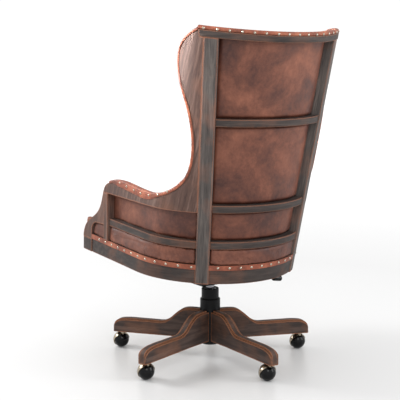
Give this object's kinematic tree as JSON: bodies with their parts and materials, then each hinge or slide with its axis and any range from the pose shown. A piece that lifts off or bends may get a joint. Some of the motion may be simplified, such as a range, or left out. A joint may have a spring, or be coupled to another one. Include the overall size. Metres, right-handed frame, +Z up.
{
  "type": "swivel office chair",
  "caption": "High-back barrel wing chair with exposed weathered-wood frame and leather pads, gas lift, tilt, and a wooden star base on ball casters.",
  "frame": {"origin": "on the swivel axis at floor level, with the gas lift at its lowest", "axes": "+Z up along the swivel axis, the sitter faces -Y, +X is to the sitter's left"},
  "size_m": [0.641, 0.7535, 1.0318],
  "materials": {
    "frame_wood": "weathered dark grey-brown with worn orange-brown edges",
    "panel_wood": "weathered brown with visible grain",
    "base_wood": "weathered dark brown with worn edges",
    "leather": "aged mottled reddish brown, soft sheen",
    "band_leather": "burnished orange brown",
    "nail_metal": "antique nickel",
    "black_metal": "semi-matte black",
    "black_plastic": "black, smooth",
    "caster_metal": "polished antique nickel brass",
    "chrome_rod": "polished",
    "steel": "zinc plated",
    "plywood": "plain plywood"
  },
  "bodies": {
    "base": {"hub_tube": "black_metal", "leg_bolts": "steel", "caster_sockets": "caster_metal", "lift_outer_tube": "black_metal", "lift_guide_bush": "black_plastic", "thrust_bearing": "steel", "base_leg_1": "base_wood", "base_leg_2": "base_wood", "base_leg_3": "base_wood", "base_leg_4": "base_wood", "base_leg_5": "base_wood"},
    "rotor": {"piston_rod": "chrome_rod", "rod_clip": "steel"},
    "lift": {"gas_cylinder": "chrome_rod", "tilt_housing": "black_metal", "tilt_pin": "steel", "tension_spring": "steel"},
    "lever": {"height_lever": "black_metal", "lever_grip": "black_plastic"},
    "knob": {"tension_knob": "black_plastic"},
    "caster_1": {"caster_fork_1": "caster_metal"},
    "ball_1": {"caster_ball_1": "black_plastic"},
    "caster_2": {"caster_fork_2": "caster_metal"},
    "ball_2": {"caster_ball_2": "black_plastic"},
    "caster_3": {"caster_fork_3": "caster_metal"},
    "ball_3": {"caster_ball_3": "black_plastic"},
    "caster_4": {"caster_fork_4": "caster_metal"},
    "ball_4": {"caster_ball_4": "black_plastic"},
    "caster_5": {"caster_fork_5": "caster_metal"},
    "ball_5": {"caster_ball_5": "black_plastic"},
    "seat": {"apron_back": "frame_wood", "apron_band": "band_leather", "apron_left": "frame_wood", "apron_right": "frame_wood", "arm_stile_left": "frame_wood", "arm_stile_right": "frame_wood", "back_pad": "leather", "front_block_left": "frame_wood", "front_block_right": "frame_wood", "front_rail": "frame_wood", "lower_back_slat": "frame_wood", "middle_back_slat": "frame_wood", "nailheads": "nail_metal", "plate_bolts": "steel", "rear_post_left": "frame_wood", "rear_post_right": "frame_wood", "rim_band": "band_leather", "seat_box": "leather", "seat_cushion": "leather", "seat_plate": "black_metal", "seat_platform": "plywood", "side_pad_left": "leather", "side_pad_right": "leather", "side_panel_left": "panel_wood", "side_panel_right": "panel_wood", "side_slat_left": "frame_wood", "side_slat_right": "frame_wood", "top_rail": "frame_wood", "upper_back_slat": "frame_wood"}
  },
  "joints": [
    {"name": "swivel", "type": "hinge", "parent": "base", "child": "rotor", "pos_m": [0, 0, 0.06], "axis": [0, 0, 1], "continuous": true},
    {"name": "height", "type": "slide", "parent": "rotor", "child": "lift", "axis": [0, 0, 1], "range_m": [0, 0.1]},
    {"name": "seat_tilt", "type": "hinge", "parent": "lift", "child": "seat", "pos_m": [0, -0.055, 0.272], "axis": [-1, 0, 0], "range_deg": [0, 13], "stiffness_Nm_per_rad": 180, "springref_deg": -17.19},
    {"name": "lever_lift", "type": "hinge", "parent": "lift", "child": "lever", "pos_m": [-0.045, 0.024, 0.258], "axis": [0, 1, 0], "range_deg": [0, 4], "stiffness_Nm_per_rad": 6, "springref_deg": -6.88},
    {"name": "tension_turn", "type": "hinge", "parent": "lift", "child": "knob", "pos_m": [0, -0.1, 0.252], "axis": [0, 1, 0], "continuous": true},
    {"name": "caster_swivel_1", "type": "hinge", "parent": "base", "child": "caster_1", "pos_m": [0.2915, 0.09471, 0.06], "axis": [0, 0, 1], "continuous": true},
    {"name": "caster_spin_1", "type": "hinge", "parent": "caster_1", "child": "ball_1", "pos_m": [0.29028, 0.08479, 0.025], "axis": [-0.1034, -0.8417, 0.5299], "continuous": true},
    {"name": "caster_swivel_2", "type": "hinge", "parent": "base", "child": "caster_2", "pos_m": [0, 0.3065, 0.06], "axis": [0, 0, 1], "continuous": true},
    {"name": "caster_spin_2", "type": "hinge", "parent": "caster_2", "child": "ball_2", "pos_m": [-0.00122, 0.29657, 0.025], "axis": [-0.1034, -0.8417, 0.5299], "continuous": true},
    {"name": "caster_swivel_3", "type": "hinge", "parent": "base", "child": "caster_3", "pos_m": [-0.2915, 0.09471, 0.06], "axis": [0, 0, 1], "continuous": true},
    {"name": "caster_spin_3", "type": "hinge", "parent": "caster_3", "child": "ball_3", "pos_m": [-0.29272, 0.08479, 0.025], "axis": [-0.1034, -0.8417, 0.5299], "continuous": true},
    {"name": "caster_swivel_4", "type": "hinge", "parent": "base", "child": "caster_4", "pos_m": [-0.18016, -0.24796, 0.06], "axis": [0, 0, 1], "continuous": true},
    {"name": "caster_spin_4", "type": "hinge", "parent": "caster_4", "child": "ball_4", "pos_m": [-0.18138, -0.25789, 0.025], "axis": [-0.1034, -0.8417, 0.5299], "continuous": true},
    {"name": "caster_swivel_5", "type": "hinge", "parent": "base", "child": "caster_5", "pos_m": [0.18016, -0.24796, 0.06], "axis": [0, 0, 1], "continuous": true},
    {"name": "caster_spin_5", "type": "hinge", "parent": "caster_5", "child": "ball_5", "pos_m": [0.17894, -0.25789, 0.025], "axis": [-0.1034, -0.8417, 0.5299], "continuous": true}
  ]
}
